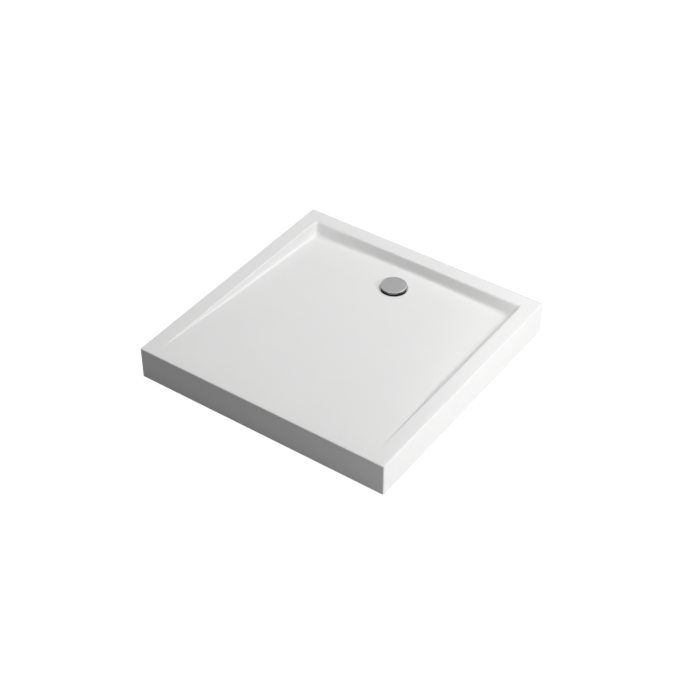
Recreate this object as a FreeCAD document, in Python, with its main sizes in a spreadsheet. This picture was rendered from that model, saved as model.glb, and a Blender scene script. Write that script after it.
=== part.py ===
import FreeCAD, Part
import os
import re
import Sketcher

"""Square shower tray of acrylic with a ramp floor, levelling legs and a covered waste.

The origin is the middle of the footprint on the floor, X runs to the right along the front
edge, Y runs to the back, where the waste is, and Z is up. Sizes are millimetres.
"""

doc = FreeCAD.newDocument("shower_tray")
sheet = doc.addObject("Spreadsheet::Sheet", "sizes")

# Sizes that can be set by themselves. Each row is an alias, its value and what it measures.
DRIVING_SIZES = [
    ("tray_width", 900, "outside, left to right"),
    ("tray_depth", 900, "outside, front to back"),
    ("tray_height", 110, "rim above the floor"),
    ("side_rim", 52, "flat rim along the left and right edges"),
    ("back_rim", 54, "flat rim along the back edge"),
    ("front_rim", 52, "level strip before the ramp starts"),
    ("ramp_drop", 30, "floor below the rim at the foot of the back wall"),
    ("side_wall_lean", 0.57, "side wall: run for each unit of depth"),
    ("back_run_middle", 19.5, "back wall: run at its foot, in the middle"),
    ("back_run_end", 40, "back wall: run at its foot, at each end"),
    ("former_overrun", 19.5, "back wall's curve runs on beyond the side walls"),
    ("cove_radius", 18, "hollow where the walls meet the floor"),
    ("basin_corner_radius", 12, "upright corners of the basin"),
    ("outer_edge_radius", 3, "rounding of the outer top edge"),
    ("plan_corner_radius", 5, "upright outer corners"),
    ("shell_wall", 4, "acrylic"),
    ("backing_wall", 2.5, "sprayed resin behind the acrylic"),
    ("backing_hem", 8, "bare skirt below the sprayed resin"),
    ("board_thickness", 12, "chipboard"),
    ("board_side_gap", 110, "board edge in from the tray's side"),
    ("board_front_gap", 70, "board edge in from the tray's front"),
    ("board_back_gap", 105, "board edge in from the tray's back"),
    ("board_notch_gap", 6, "board cut out round the waste boss"),
    ("bearer_width", 45, "timber"),
    ("bearer_share", 0.526316, "timber's share of the height above a leg, at the foot of the ramp"),
    ("bearer_end_gap", 110, "bearer end in from the tray's front and back"),
    ("leg_side_gap", 200, "leg axis in from the tray's side"),
    ("leg_end_gap", 190, "leg axis in from the tray's front and back"),
    ("waste_back_gap", 178, "waste axis in from the tray's back"),
    ("waste_hole_radius", 30, "hole in the tray"),
    ("seat_drop", 4.5, "waste seat below the floor at the waste axis"),
    ("seat_plate", 4.5, "acrylic under the waste seat"),
    ("seat_edge_gap", 2, "recess wall outside the flange"),
    ("boss_wall", 4, "acrylic boss outside the recess"),
    ("flange_radius", 44, "clamp ring"),
    ("flange_plate", 2.5, "clamp ring"),
    ("flange_neck_radius", 28.5, "outside of the threaded neck"),
    ("flange_neck_wall", 2.5, "threaded neck"),
    ("gasket_thickness", 1.5, "between flange and tray"),
    ("lower_seal_thickness", 2, "between tray and trap"),
    ("seal_edge_gap", 2, "gasket edge inside the flange edge"),
    ("trap_clearance", 4, "trap above the floor"),
    ("trap_wall", 3, "moulded"),
    ("trap_bowl_radius", 43, "outside"),
    ("trap_collar", 5, "top plate of the bowl"),
    ("trap_sleeve", 10, "threaded sleeve below the collar"),
    ("chamber_width", 52, "outlet chamber, outside"),
    ("chamber_reach", 86, "outlet chamber end from the waste axis"),
    ("chamber_top_gap", 7, "outlet chamber roof below the collar's top"),
    ("weir_height", 40, "water way over the weir above the trap's underside"),
    ("weir_width", 40, "water way over the weir"),
    ("weir_window", 17, "water way over the weir, its height"),
    ("dip_gap", 7, "dip tube end above the bowl's bottom"),
    ("dip_radius", 23, "dip tube, outside"),
    ("dip_wall", 2, "dip tube"),
    ("dip_rim_rise", 1.5, "dip tube rim above the flange"),
    ("rim_seat_depth", 1.2, "seat for the dip tube's rim in the flange"),
    ("rim_seat_width", 2, "seat for the dip tube's rim in the flange"),
    ("lift_gap", 0.3, "between lift-out pieces and what holds them"),
    ("ring_section", 1.3, "O-ring, radius of its section"),
    ("ring_drop", 11, "O-ring below the flange's top"),
    ("ring_groove_gap", 0.1, "round the O-ring's section in its groove"),
    ("dip_collar", 16, "thick part of the dip tube below the flange's top"),
    ("strainer_thickness", 2, "plate"),
    ("strainer_drop", 2.5, "strainer ledge below the flange's top"),
    ("strainer_ledge_width", 2.2, "strainer ledge in the dip tube"),
    ("strainer_hole_radius", 2.5, "each hole"),
    ("strainer_inner_pitch", 9.5, "radius of the inner ring of holes"),
    ("strainer_outer_pitch", 17, "radius of the outer ring of holes"),
    ("strainer_inner_count", 7, "holes in the inner ring"),
    ("strainer_outer_count", 14, "holes in the outer ring"),
    ("knob_radius", 4, "strainer knob"),
    ("knob_height", 5, "strainer knob"),
    ("cap_radius", 43, "waste cover"),
    ("cap_height", 12.9, "cover's top above the flange"),
    ("cap_edge", 9.2, "height of the cover's edge"),
    ("cap_wall", 2, "waste cover"),
    ("cap_edge_radius", 1.6, "rounding of the cover's top edge"),
    ("cap_leg_width", 12, "each leg of the cover"),
    ("cap_leg_wall", 3, "each leg of the cover"),
    ("cap_leg_count", 3, "legs of the cover"),
    ("outlet_height", 27, "outlet axis above the trap's underside"),
    ("spout_radius", 25, "outside of the trap's spout"),
    ("spout_length", 16, "spout beyond the chamber"),
    ("spigot_radius", 20, "outside of the pipe end"),
    ("spigot_step", 1, "inner end of the spigot is this much smaller"),
    ("spigot_wall", 2, "outlet pipe"),
    ("spigot_shoulder_gap", 2, "between the nut and the pipe end's shoulder"),
    ("spigot_free_length", 54, "pipe end beyond the shoulder"),
    ("spigot_entry_gap", 3, "spigot end inside the spout from the chamber"),
    ("outlet_seal_length", 4, "rubber ring under the nut"),
    ("outlet_nut_radius", 29, "outlet nut"),
    ("outlet_nut_wall", 4, "end wall of the nut"),
    ("outlet_nut_grip", 12, "nut over the spout"),
    ("notch_gap", 10, "skirt cut-out round the pipe"),
    ("thread_gap", 0.05, "radial room in threads and turning fits"),
    ("bracket_length", 90, "along the bearer"),
    ("bracket_thickness", 3, "steel"),
    ("weld_nut_height", 10, "nut welded under the bracket"),
    ("nut_across_flats", 18, "weld nut and lock nut"),
    ("lock_nut_height", 7, "lock nut"),
    ("rod_radius", 5.9, "M12 rod"),
    ("rod_room", 1.6, "radial room for the rod in the bearer"),
    ("rod_end_gap", 3.098773, "rod's top below the board, at the back legs"),
    ("foot_radius", 25, "moulded foot"),
    ("foot_plate", 6, "moulded foot"),
    ("foot_boss_radius", 11, "moulded foot"),
    ("foot_boss_height", 8, "moulded foot"),
    ("sole_thickness", 2, "rubber"),
    ("pivot_radius", 4, "lower end of the rod"),
    ("pivot_length", 9.5, "lower end of the rod"),
    ("collar_across_flats", 17, "hexagon on the rod"),
    ("collar_height", 6, "hexagon on the rod"),
    ("screw_radius", 2.2, "bracket and bearer screws"),
    ("screw_head_radius", 4.4, "bracket and bearer screws"),
    ("screw_head_height", 2.6, "bracket and bearer screws"),
    ("bracket_screw_bite", 9, "bracket screw in the bearer"),
    ("bracket_screw_inset", 12, "bracket screw from the bracket's end"),
    ("bearer_screw_bite", 8, "bearer screw in the bearer"),
    ("bearer_screw_inset", 15, "bearer screw from the bearer's end"),
    ("bearer_screw_offset", 80, "middle screw of a bearer behind the tray's middle"),
]

# Sizes that follow from the ones above.
DERIVED_SIZES = [
    ("basin_front", "-tray_depth / 2 + front_rim"),
    ("basin_back", "tray_depth / 2 - back_rim"),
    ("basin_half", "tray_width / 2 - side_rim"),
    ("floor_slope", "ramp_drop / (basin_back - back_run_middle - basin_front)"),
    ("floor_stretch", "sqrt(1 + floor_slope ^ 2)"),
    ("side_stretch", "sqrt(1 + side_wall_lean ^ 2)"),
    ("lean_middle", "back_run_middle / ramp_drop"),
    ("lean_end", "back_run_end / ramp_drop"),
    ("stretch_middle", "sqrt(1 + lean_middle ^ 2)"),
    ("stretch_end", "sqrt(1 + lean_end ^ 2)"),
    ("tool_rise", "floor_slope * (front_rim + shell_wall) + shell_wall"),
    ("tool_depth", "ramp_drop + shell_wall + backing_wall + cove_radius"),
    ("tool_front", "-tray_depth / 2 - shell_wall"),
    ("backing_gap", "shell_wall + backing_wall"),
    ("bow_reach", "basin_half + former_overrun"),
    ("bow_gain", "(bow_reach / basin_half) ^ 2"),
    ("waste_y", "tray_depth / 2 - waste_back_gap"),
    ("floor_at_waste", "tray_height - floor_slope * (waste_y - basin_front)"),
    ("seat_level", "floor_at_waste - seat_drop"),
    ("seat_underside", "seat_level - seat_plate"),
    ("recess_radius", "flange_radius + seat_edge_gap"),
    ("boss_radius", "recess_radius + boss_wall"),
    ("flange_underside", "seat_level + gasket_thickness"),
    ("flange_top", "flange_underside + flange_plate"),
    ("flange_bore", "flange_neck_radius - flange_neck_wall"),
    ("collar_top", "seat_underside - lower_seal_thickness"),
    ("sleeve_end", "collar_top - trap_collar - trap_sleeve"),
    ("sleeve_bore", "flange_neck_radius + thread_gap"),
    ("seal_inner", "waste_hole_radius + thread_gap"),
    ("seal_outer", "flange_radius - seal_edge_gap"),
    ("board_top_drop", "backing_gap * floor_stretch"),
    ("board_bottom_drop", "board_top_drop + board_thickness * floor_stretch"),
    ("board_front", "-tray_depth / 2 + board_front_gap"),
    ("board_back", "tray_depth / 2 - board_back_gap"),
    ("board_half", "tray_width / 2 - board_side_gap"),
    ("board_notch_half", "boss_radius + board_notch_gap"),
    ("board_notch_front", "waste_y - board_notch_half"),
    ("bearer_reach", "tray_depth / 2 - bearer_end_gap"),
    ("board_under_at_back", "tray_height - floor_slope * (bearer_reach - basin_front) - board_bottom_drop"),
    ("foot_top", "sole_thickness + foot_plate + foot_boss_height"),
    ("rod_collar_top", "foot_top + collar_height"),
    ("leg_stack", "rod_collar_top + lock_nut_height + weld_nut_height + bracket_thickness"),
    ("bearer_underside", "board_under_at_back - (board_under_at_back - leg_stack) * bearer_share"),
    ("middle_bearer_back", "board_notch_front - bearer_screw_inset"),
    ("leg_x", "tray_width / 2 - leg_side_gap"),
    ("leg_y", "tray_depth / 2 - leg_end_gap"),
    ("bracket_underside", "bearer_underside - bracket_thickness"),
    ("weld_nut_bottom", "bracket_underside - weld_nut_height"),
    ("lock_nut_bottom", "weld_nut_bottom - lock_nut_height"),
    ("board_under_at_leg", "tray_height - floor_slope * (leg_y - basin_front) - board_bottom_drop"),
    ("rod_top", "board_under_at_leg - rod_end_gap"),
    ("rod_bore", "rod_radius + thread_gap"),
    ("rod_hole", "rod_radius + rod_room"),
    ("pivot_bottom", "foot_top - pivot_length"),
    ("pivot_bore", "pivot_radius + thread_gap"),
    ("pivot_bore_bottom", "pivot_bottom - lift_gap"),
    ("bowl_bottom", "trap_clearance + trap_wall"),
    ("bowl_bore", "trap_bowl_radius - trap_wall"),
    ("chamber_half", "chamber_width / 2"),
    ("chamber_inner", "chamber_half - trap_wall"),
    ("chamber_roof", "collar_top - chamber_top_gap"),
    ("sleeve_radius", "sleeve_bore + trap_wall"),
    ("bowl_ceiling", "collar_top - trap_collar"),
    ("chamber_meets_bowl", "sqrt(trap_bowl_radius ^ 2 - chamber_inner ^ 2)"),
    ("weir_top", "trap_clearance + weir_height"),
    ("outlet_axis", "trap_clearance + outlet_height"),
    ("spout_end", "chamber_reach + spout_length"),
    ("spigot_inner_radius", "spigot_radius - spigot_step"),
    ("spout_bore", "spigot_inner_radius + thread_gap"),
    ("spigot_bore", "spigot_inner_radius - spigot_wall"),
    ("spigot_start", "chamber_reach + spigot_entry_gap"),
    ("nut_wall_start", "spout_end + outlet_seal_length"),
    ("nut_end", "nut_wall_start + outlet_nut_wall"),
    ("nut_start", "spout_end - outlet_nut_grip"),
    ("spigot_shoulder", "nut_end + spigot_shoulder_gap"),
    ("spigot_end", "spigot_shoulder + spigot_free_length"),
    ("notch_radius", "spigot_radius + notch_gap"),
    ("dip_bottom", "bowl_bottom + dip_gap"),
    ("dip_bore", "dip_radius - dip_wall"),
    ("dip_collar_radius", "flange_bore - lift_gap - thread_gap"),
    ("dip_collar_bottom", "flange_top - dip_collar"),
    ("rim_seat", "flange_top - rim_seat_depth"),
    ("rim_seat_radius", "flange_bore + rim_seat_width"),
    ("dip_rim_radius", "rim_seat_radius - lift_gap"),
    ("dip_rim_top", "flange_top + dip_rim_rise"),
    ("ring_level", "flange_top - ring_drop"),
    ("ring_radius", "flange_bore - lift_gap - ring_section"),
    ("ring_groove", "ring_radius - ring_section - ring_groove_gap"),
    ("ring_groove_half", "ring_section + ring_groove_gap"),
    ("strainer_ledge", "flange_top - strainer_drop"),
    ("strainer_seat_radius", "dip_bore + strainer_ledge_width"),
    ("strainer_radius", "strainer_seat_radius - lift_gap"),
    ("strainer_top", "strainer_ledge + strainer_thickness"),
    ("cap_top", "flange_top + cap_height"),
    ("cap_under", "cap_top - cap_wall"),
    ("cap_edge_bottom", "cap_top - cap_edge"),
    ("cap_leg_inner", "dip_rim_radius + lift_gap"),
    ("bracket_screw_pitch", "bracket_length / 2 - bracket_screw_inset"),
]


def fill_sheet():
    """Write the two lists into the sheet, one alias for each row."""
    row = 1
    for alias, value, meaning in DRIVING_SIZES:
        sheet.set(f"A{row}", alias)
        sheet.set(f"B{row}", str(value))
        sheet.set(f"C{row}", meaning)
        sheet.setAlias(f"B{row}", alias)
        row += 1
    for alias, formula in DERIVED_SIZES:
        sheet.set(f"A{row}", alias)
        sheet.set(f"B{row}", "=" + formula)
        sheet.setAlias(f"B{row}", alias)
        row += 1
    doc.recompute()


ALIASES = {row[0] for row in DRIVING_SIZES + DERIVED_SIZES}


def size(alias):
    """Return a size of the sheet as a plain number."""
    return float(sheet.get(alias))


def bound(text):
    """Turn a formula in aliases into one that names the sheet."""
    return re.sub(r"[a-z][a-z_]*", lambda word: sheet_word(word[0]), text)


def sheet_word(word):
    """An alias gets the sheet's name, and any other word stays."""
    return f"sizes.{word}" if word in ALIASES else word


def number(holder, text):
    """Work out a formula in aliases as a plain number."""
    value = holder.evalExpression(bound(text))
    return float(getattr(value, "Value", value))


def bind(thing, prop, text):
    """Bind a property to a formula in aliases."""
    thing.setExpression(prop, bound(text))


def new_body(label, x="0", y="0", z="0"):
    """Make an empty body whose place is bound to the sheet."""
    body = doc.addObject("PartDesign::Body", label)
    body.Label = label
    bind(body, "Placement.Base.x", x)
    bind(body, "Placement.Base.y", y)
    bind(body, "Placement.Base.z", z)
    return body


def new_sketch(body, role, level="0"):
    """Attach a sketch to one of the body's own origin planes, at a distance along its normal."""
    plane = next(f for f in body.Origin.OriginFeatures if f.Role == role)
    sketch = body.newObject("Sketcher::SketchObject", body.Name + "_sketch")
    sketch.AttachmentSupport = (plane, "")
    sketch.MapMode = "FlatFace"
    bind(sketch, "AttachmentOffset.Base.z", level)
    return sketch


def pin_point(sketch, geometry, vertex, x, y):
    """Hold a vertex of a sketch at two formulas."""
    for kind, text in (("DistanceX", x), ("DistanceY", y)):
        rule = Sketcher.Constraint(kind, -1, 1, geometry, vertex, number(sketch, text))
        place = sketch.addConstraint(rule)
        bind(sketch, f"Constraints[{place}]", text)


def outline(sketch, corners, bulge_at=None, bulge=None):
    """Draw a closed outline through corners, each a pair of formulas.

    The side that starts at the corner numbered bulge_at is an arc through the pair bulge. An arc
    of a sketch always runs anticlockwise, so one that bulges inwards is drawn from its far end.
    """
    spots = [FreeCAD.Vector(number(sketch, x), number(sketch, y), 0) for x, y in corners]
    first = sketch.GeometryCount
    ends = [(1, 2)] * len(spots)
    for index, spot in enumerate(spots):
        following = spots[(index + 1) % len(spots)]
        if index != bulge_at:
            sketch.addGeometry(Part.LineSegment(spot, following), False)
            continue
        crown = FreeCAD.Vector(number(sketch, bulge[0]), number(sketch, bulge[1]), 0)
        if (crown - spot).cross(following - crown).z > 0:
            sketch.addGeometry(Part.Arc(spot, crown, following), False)
        else:
            sketch.addGeometry(Part.Arc(following, crown, spot), False)
            ends[index] = (2, 1)
    for index in range(len(spots)):
        after = (index + 1) % len(spots)
        sketch.addConstraint(
            Sketcher.Constraint(
                "Coincident", first + index, ends[index][1], first + after, ends[after][0]
            )
        )
        pin_point(sketch, first + index, ends[index][0], *corners[index])
    if bulge_at is not None:
        crown = FreeCAD.Vector(number(sketch, bulge[0]), number(sketch, bulge[1]), 0)
        point = sketch.addGeometry(Part.Point(crown), True)
        pin_point(sketch, point, 1, *bulge)
        sketch.addConstraint(
            Sketcher.Constraint("PointOnObject", point, 1, first + bulge_at)
        )


def circle(sketch, radius, x="0", y="0"):
    """Draw a circle of a bound radius about a bound centre."""
    centre = FreeCAD.Vector(number(sketch, x), number(sketch, y), 0)
    ring = sketch.addGeometry(
        Part.Circle(centre, FreeCAD.Vector(0, 0, 1), number(sketch, radius)), False
    )
    pin_point(sketch, ring, 3, x, y)
    place = sketch.addConstraint(
        Sketcher.Constraint("Radius", ring, number(sketch, radius))
    )
    bind(sketch, f"Constraints[{place}]", radius)


def rectangle(sketch, left, low, right, high):
    """Draw an upright rectangle between four formulas."""
    outline(sketch, [(left, low), (right, low), (right, high), (left, high)])


def feature(body, kind, sketch):
    """Add a sketched feature to a body."""
    made = body.newObject("PartDesign::" + kind, body.Name + "_" + kind.lower())
    made.Profile = sketch
    return made


def pad(body, sketch, length, reverse=False, both_ways=False):
    """Raise a sketch by a length, to one side or to both alike."""
    made = feature(body, "Pad", sketch)
    bind(made, "Length", length)
    made.Reversed = reverse
    if both_ways:
        made.SideType = "Symmetric"
    doc.recompute()
    return made


def pocket(body, sketch, length, reverse=False, both_ways=False):
    """Cut a sketch out of a body, and make sure that it cuts."""
    before = body.Shape.Volume
    made = feature(body, "Pocket", sketch)
    bind(made, "Length", length)
    made.Reversed = reverse
    if both_ways:
        made.SideType = "Symmetric"
    doc.recompute()
    if body.Shape.Volume >= before:
        raise RuntimeError(f"{made.Name} cuts nothing")
    return made


def turned(body, corners):
    """Turn an outline of radius and height pairs about the body's upright axis."""
    sketch = new_sketch(body, "XZ_Plane")
    outline(sketch, corners)
    made = feature(body, "Revolution", sketch)
    made.ReferenceAxis = (sketch, ["V_Axis"])
    made.Angle = 360
    doc.recompute()
    return made


def turned_cut(body, corners):
    """Cut an outline of radius and height pairs, turned about the body's upright axis."""
    before = body.Shape.Volume
    sketch = new_sketch(body, "XZ_Plane")
    outline(sketch, corners)
    made = feature(body, "Groove", sketch)
    made.ReferenceAxis = (sketch, ["V_Axis"])
    made.Angle = 360
    doc.recompute()
    if body.Shape.Volume >= before:
        raise RuntimeError(f"{made.Name} cuts nothing")
    return made


def edges_that(body, test):
    """Names of the edges of a body's tip for which a test holds."""
    shape = body.Tip.Shape
    return [f"Edge{i + 1}" for i, edge in enumerate(shape.Edges) if test(edge)]


def round_edges(body, radius, test):
    """Round the edges for which a test holds."""
    names = edges_that(body, test)
    if not names:
        raise RuntimeError(f"{body.Label} has no such edge")
    made = body.newObject("PartDesign::Fillet", body.Name + "_fillet")
    made.Base = (body.Tip if made != body.Tip else made.BaseFeature, names)
    bind(made, "Radius", radius)
    doc.recompute()
    return made


def cut_with(body, tool):
    """Take another body out of this one."""
    made = body.newObject("PartDesign::Boolean", body.Name + "_cut")
    made.setObjects([tool])
    made.Type = "Cut"
    doc.recompute()
    return made


def is_upright(edge):
    """True for a straight edge along Z."""
    start, end = edge.Vertexes[0].Point, edge.Vertexes[-1].Point
    return abs(start.x - end.x) < 0.01 and abs(start.y - end.y) < 0.01 and edge.Length > 1


def all_at(edge, level):
    """True for an edge that lies at one height."""
    box = edge.BoundBox
    return abs(box.ZMin - level) < 0.01 and abs(box.ZMax - level) < 0.01


def floor_level(y, drop):
    """Height of the ramp at a place, with a drop below it."""
    return size("tray_height") - size("floor_slope") * (y - size("basin_front")) - drop


def back_former(label, grow):
    """What lies behind the basin's back wall.

    The wall is ruled between two level arcs. Its run for each unit of depth is less in the middle
    than at its ends, so it is straight at the rim and bows to the back at the floor.
    """
    body = new_body(label)
    sections = []
    for level, depth in (("tray_height + tool_rise", "-1 * tool_rise"),
                         ("tray_height - 2 * tool_depth", "2 * tool_depth")):
        crown = f"basin_back - lean_middle * {depth} + {grow} * stretch_middle"
        end = f"basin_back - lean_end * {depth} + {grow} * stretch_end"
        reach = f"{crown} - ( {crown} - ( {end} ) ) * bow_gain"
        sketch = new_sketch(body, "XY_Plane", level)
        outline(
            sketch,
            [("-bow_reach", "tray_depth"), ("-bow_reach", reach), ("bow_reach", reach),
             ("bow_reach", "tray_depth")],
            bulge_at=1, bulge=("0", crown),
        )
        sections.append(sketch)
    doc.recompute()
    loft = body.newObject("PartDesign::AdditiveLoft", label + "_loft")
    loft.Profile = sections[0]
    loft.Sections = [sections[1]]
    loft.Ruled = True
    doc.recompute()
    return body


def basin_tool(label, grow):
    """The hollow of the basin, made larger all round by a thickness.

    Its sides lean by a fixed run for each unit of depth, the ramp cuts it from below, and the
    back former ends it.
    """
    body = new_body(label)
    across = new_sketch(body, "XZ_Plane")
    top = f"basin_half + side_wall_lean * tool_rise + {grow} * side_stretch"
    low = f"basin_half - side_wall_lean * tool_depth + {grow} * side_stretch"
    outline(
        across,
        [(f"-1 * ( {low} )", "tray_height - tool_depth"), (low, "tray_height - tool_depth"),
         (top, "tray_height + tool_rise"), (f"-1 * ( {top} )", "tray_height + tool_rise")],
    )
    pad(body, across, "2 * ( -1 * tool_front )", both_ways=True)
    side = new_sketch(body, "YZ_Plane")
    ramp = f"tray_height - floor_slope * ( %s - basin_front ) - {grow} * floor_stretch"
    front, back = "2 * tool_front", "tray_depth"
    outline(
        side,
        [(front, ramp % front), (front, "-1 * tray_height"), (back, "-1 * tray_height"),
         (back, ramp % back)],
    )
    pocket(body, side, "2 * tray_width", both_ways=True)
    cut_with(body, back_former(label + "_back", grow))
    drop = number(sheet, f"{grow} * floor_stretch")

    def on_floor(vertex):
        return abs(vertex.Point.z - floor_level(vertex.Point.y, drop)) < 0.01

    def is_corner(edge):
        ends = edge.Vertexes
        return ends[0].Point.y > 0 and ends[-1].Point.y > 0 and on_floor(ends[0]) != on_floor(ends[-1])

    def is_foot(edge):
        ends = edge.Vertexes
        on_front = all(v.Point.y < size("tool_front") + 0.01 for v in ends)
        return all(on_floor(v) for v in ends) and not on_front

    round_edges(body, f"basin_corner_radius + {grow}", is_corner)
    round_edges(body, f"cove_radius + {grow}", is_foot)
    return body


def block(label, inset, low, high):
    """A block as large as the tray in plan, drawn in by an inset, with rounded upright corners."""
    body = new_body(label)
    sketch = new_sketch(body, "XY_Plane", low)
    rectangle(
        sketch, f"-tray_width / 2 + {inset}", f"-tray_depth / 2 + {inset}",
        f"tray_width / 2 - {inset}", f"tray_depth / 2 - {inset}",
    )
    pad(body, sketch, f"{high} - ( {low} )")
    return body


def pipe_notch(body, inset, reach):
    """Cut the arched way for the outlet pipe through the back skirt, open at the bottom."""
    middle = f"tray_depth / 2 - {inset} - {reach} / 2"
    sketch = new_sketch(body, "XZ_Plane", f"-1 * ( {middle} )")
    outline(
        sketch,
        [("-notch_radius", "-notch_gap"), ("notch_radius", "-notch_gap"),
         ("notch_radius", "outlet_axis"), ("-notch_radius", "outlet_axis")],
        bulge_at=2, bulge=("0", "outlet_axis + notch_radius"),
    )
    pocket(body, sketch, f"2 * {reach}", both_ways=True)


def hollow(label, grow):
    """What the underside leaves empty: a block inside the skirt, less the basin made larger."""
    body = block(label, grow, f"-1 * {grow}", f"tray_height - {grow}")
    cut_with(body, basin_tool(label + "_basin", grow))
    boss = new_sketch(body, "XY_Plane", "seat_underside")
    circle(boss, "boss_radius", "0", "waste_y")
    pocket(body, boss, "tray_height", reverse=True)
    return body


def tray_shell():
    """Acrylic shell: rim, ramp floor, walls and skirt in one skin, with a level waste seat."""
    body = block("tray_shell", "0", "0", "tray_height")
    round_edges(body, "plan_corner_radius", is_upright)
    round_edges(body, "outer_edge_radius", lambda edge: all_at(edge, size("tray_height")))
    cut_with(body, basin_tool("basin", "0"))
    cut_with(body, hollow("underside", "shell_wall"))
    recess = new_sketch(body, "XY_Plane", "seat_level")
    circle(recess, "recess_radius", "0", "waste_y")
    pocket(body, recess, "tray_height", reverse=True)
    hole = new_sketch(body, "XY_Plane", "seat_underside - seat_plate")
    circle(hole, "waste_hole_radius", "0", "waste_y")
    pocket(body, hole, "tray_height", reverse=True)
    pipe_notch(body, "0", "shell_wall")
    return body


def grp_backing():
    """Sprayed resin skin on the back of the acrylic, open round the waste boss."""
    body = block("grp_backing", "shell_wall", "backing_hem", "tray_height - shell_wall")
    cut_with(body, basin_tool("backing_basin", "shell_wall"))
    cut_with(body, hollow("backing_underside", "backing_gap"))
    hole = new_sketch(body, "XY_Plane", "0")
    circle(hole, "boss_radius", "0", "waste_y")
    pocket(body, hole, "2 * tray_height", reverse=True)
    pipe_notch(body, "shell_wall", "backing_wall")
    return body


def under_ramp(y, drop):
    """Formula for the height of a plane parallel to the ramp, a drop below it."""
    return f"tray_height - floor_slope * ( {y} - basin_front ) - {drop}"


def screw_reach(y):
    """Formula for the top of a bearer screw: through the bearer, then its bite in the board."""
    return under_ramp(y, "board_bottom_drop") + " + bearer_screw_bite"


def drill(body, radius, places, low, high):
    """Cut upright holes of one radius between two heights."""
    sketch = new_sketch(body, "XY_Plane", low)
    for x, y in places:
        circle(sketch, radius, x, y)
    pocket(body, sketch, f"{high} - ( {low} )", reverse=True)


def baseboard():
    """Chipboard under the ramp, with a cut-out open to the back for the waste and its trap."""
    body = new_body("baseboard")
    side = new_sketch(body, "YZ_Plane")
    outline(
        side,
        [("board_front", under_ramp("board_front", "board_bottom_drop")),
         ("board_back", under_ramp("board_back", "board_bottom_drop")),
         ("board_back", under_ramp("board_back", "board_top_drop")),
         ("board_front", under_ramp("board_front", "board_top_drop"))],
    )
    pad(body, side, "2 * board_half", both_ways=True)
    notch = new_sketch(body, "XY_Plane")
    rectangle(notch, "-1 * board_notch_half", "board_notch_front", "board_notch_half", "tray_depth / 2")
    pocket(body, notch, "2 * tray_height", reverse=True)
    for x, screws in BEARER_SCREWS:
        for y in screws:
            drill(body, "screw_radius", [(x, y)], "bearer_underside", screw_reach(y))
    return body


def bearer(label, x, back, legs, screws):
    """Tapered timber: its top follows the board and its underside is level."""
    body = new_body(label, x)
    side = new_sketch(body, "YZ_Plane")
    outline(
        side,
        [("-1 * bearer_reach", "bearer_underside"), (back, "bearer_underside"),
         (back, under_ramp(back, "board_bottom_drop")),
         ("-1 * bearer_reach", under_ramp("-1 * bearer_reach", "board_bottom_drop"))],
    )
    pad(body, side, "bearer_width", both_ways=True)
    drill(body, "rod_hole", [("0", y) for y in legs], "bracket_underside", "tray_height")
    drill(body, "screw_radius", [("0", y) for y in screws], "bracket_underside", "tray_height")
    pilots = [("0", f"{y} {way} bracket_screw_pitch") for y in legs for way in "+-"]
    drill(body, "screw_radius", pilots, "bracket_underside", "bearer_underside + bracket_screw_bite")
    return body


def screw_group(label, places):
    """Pan-head screws that point up: each place is x, y, the head's top and the shank's end."""
    screws = []
    for x, y, seat, top in places:
        shank = doc.addObject("Part::Cylinder", label + "_shank")
        bind(shank, "Radius", "screw_radius")
        bind(shank, "Height", f"{top} - ( {seat} )")
        head = doc.addObject("Part::Cylinder", label + "_head")
        bind(head, "Radius", "screw_head_radius")
        bind(head, "Height", "screw_head_height")
        for solid, level in ((shank, seat), (head, f"{seat} - screw_head_height")):
            bind(solid, "Placement.Base.x", x)
            bind(solid, "Placement.Base.y", y)
            bind(solid, "Placement.Base.z", level)
        screw = doc.addObject("Part::Fuse", label + "_one")
        screw.Base = shank
        screw.Tool = head
        screws.append(screw)
    return grouped(label, screws)


def grouped(label, solids):
    """Put like pieces into one node, each a solid of its own."""
    group = doc.addObject("Part::Compound", label)
    group.Label = label
    group.Links = solids
    return group


def hexagon(body, across, low, length):
    """Raise a hexagon, measured across its flats, about the body's axis."""
    sketch = new_sketch(body, "XY_Plane", low)
    half = f"{across} / 2"
    side = f"{across} / ( 2 * sqrt(3) )"
    tip = f"{across} / sqrt(3)"
    outline(
        sketch,
        [(half, f"-1 * {side}"), (half, side), ("0", tip), (f"-1 * {half}", side),
         (f"-1 * {half}", f"-1 * {side}"), ("0", f"-1 * {tip}")],
    )
    return pad(body, sketch, length)


def leg_bracket(label, x, y):
    """Steel plate screwed under a bearer, with a nut welded below it for the rod."""
    body = new_body(label, x, y)
    plate = new_sketch(body, "XY_Plane", "bracket_underside")
    rectangle(
        plate, "-1 * bearer_width / 2", "-1 * bracket_length / 2", "bearer_width / 2",
        "bracket_length / 2",
    )
    pad(body, plate, "bracket_thickness")
    hexagon(body, "nut_across_flats", "weld_nut_bottom", "weld_nut_height")
    drill(body, "rod_bore", [("0", "0")], "lock_nut_bottom", "tray_height")
    pitch = [("0", "bracket_screw_pitch"), ("0", "-1 * bracket_screw_pitch")]
    drill(body, "screw_radius", pitch, "weld_nut_bottom", "tray_height")
    return body


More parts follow.
